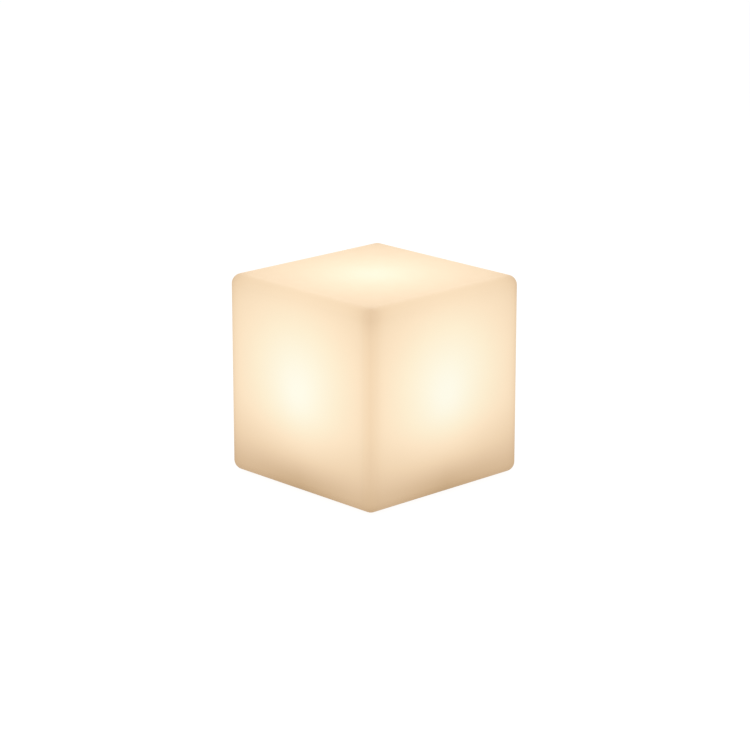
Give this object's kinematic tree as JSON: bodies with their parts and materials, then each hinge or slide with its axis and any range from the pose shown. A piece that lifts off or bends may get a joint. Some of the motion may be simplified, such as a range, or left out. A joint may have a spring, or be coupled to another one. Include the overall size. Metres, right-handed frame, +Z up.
{
  "type": "led cube light",
  "caption": "Cordless garden light: a hollow milky cube with rounded edges on feet, with a twist-out light unit under it that holds a battery, a button and a charging socket.",
  "frame": {"origin": "on the ground under the middle of the cube", "axes": "+Z up, +X right and +Y back, with the cube's front face towards -Y"},
  "size_m": [0.2, 0.2, 0.2],
  "materials": {
    "milky_shell": "milky polyethylene, satin, warm white glow from inside",
    "brass": "knurled brass",
    "white_abs": "white moulded plastic, finely textured",
    "grey_button": "grey moulded plastic, satin",
    "black_rubber": "black rubber, matt",
    "grey_gasket": "grey silicone",
    "stainless": "stainless steel, turned",
    "green_board": "glass-fibre board with green resist",
    "white_board": "aluminium board with white resist",
    "black_plastic": "black moulded plastic",
    "red_plunger": "red moulded plastic",
    "capacitor_can": "aluminium can",
    "ivory_nylon": "ivory nylon",
    "cell_sleeve": "blue shrink sleeve over the cell",
    "wire_jacket": "silicone wire",
    "heat_sink_metal": "extruded aluminium",
    "led_lamp": "warm white LED, lit",
    "status_lamp": "small green lamp",
    "clear_acrylic": "clear acrylic light pipe",
    "milky_globe": "milky polycarbonate, lit from inside"
  },
  "bodies": {
    "shell_body": {"cube_shell": "milky_shell", "shell_inserts": "brass", "mounting_ring": "white_abs", "ring_gasket": "grey_gasket", "ring_screws": "stainless", "foot_front_left": "black_rubber", "foot_front_right": "black_rubber", "foot_back_left": "black_rubber", "foot_back_right": "black_rubber"},
    "light_unit": {"unit_housing": "white_abs", "unit_seal": "black_rubber", "unit_cover": "white_abs", "cover_gasket": "grey_gasket", "cover_screws": "stainless", "button_guide": "white_abs", "guide_screws": "stainless", "button_spring": "stainless", "control_board": "green_board", "board_screws": "stainless", "push_switch": "black_plastic", "charge_socket": "stainless", "socket_core": "black_plastic", "socket_gasket": "grey_gasket", "hinge_pin": "stainless", "status_led": "status_lamp", "light_pipe": "clear_acrylic", "driver_chips": "black_plastic", "board_inductor": "black_plastic", "board_capacitors": "capacitor_can", "led_socket": "ivory_nylon", "led_plug": "ivory_nylon", "battery_socket": "ivory_nylon", "battery_plug": "ivory_nylon", "battery_tray": "white_abs", "tray_screws": "stainless", "battery_cell_front": "cell_sleeve", "battery_cell_back": "cell_sleeve", "battery_tabs": "stainless", "battery_wires": "wire_jacket", "lamp_stem": "white_abs", "stem_screws": "stainless", "grommet": "black_rubber", "heat_sink": "heat_sink_metal", "heat_sink_screws": "stainless", "led_board_front": "white_board", "led_board_right": "white_board", "led_board_back": "white_board", "led_board_left": "white_board", "led_board_top": "white_board", "led_chips": "led_lamp", "diffuser_globe": "milky_globe", "globe_ring": "white_abs", "globe_ring_screws": "stainless", "led_wires": "wire_jacket"},
    "button": {"power_button": "grey_button", "button_seal": "black_rubber", "switch_plunger": "red_plunger"},
    "door": {"charge_door": "white_abs", "door_plug": "grey_gasket"}
  },
  "joints": [
    {"name": "unit_twist", "type": "hinge", "parent": "shell_body", "child": "light_unit", "pos_m": [0, 0, 0.01], "axis": [0, 0, -1], "range_deg": [0, 45]},
    {"name": "button_press", "type": "slide", "parent": "light_unit", "child": "button", "axis": [0, 0, 1], "range_m": [0, 0.0012], "stiffness_N_per_m": 800, "springref_m": -0.0005, "deforming": ["button_spring"]},
    {"name": "door_swing", "type": "hinge", "parent": "light_unit", "child": "door", "pos_m": [-0.046, 0, 0.0046], "axis": [0, 1, 0], "range_deg": [0, 120]}
  ]
}
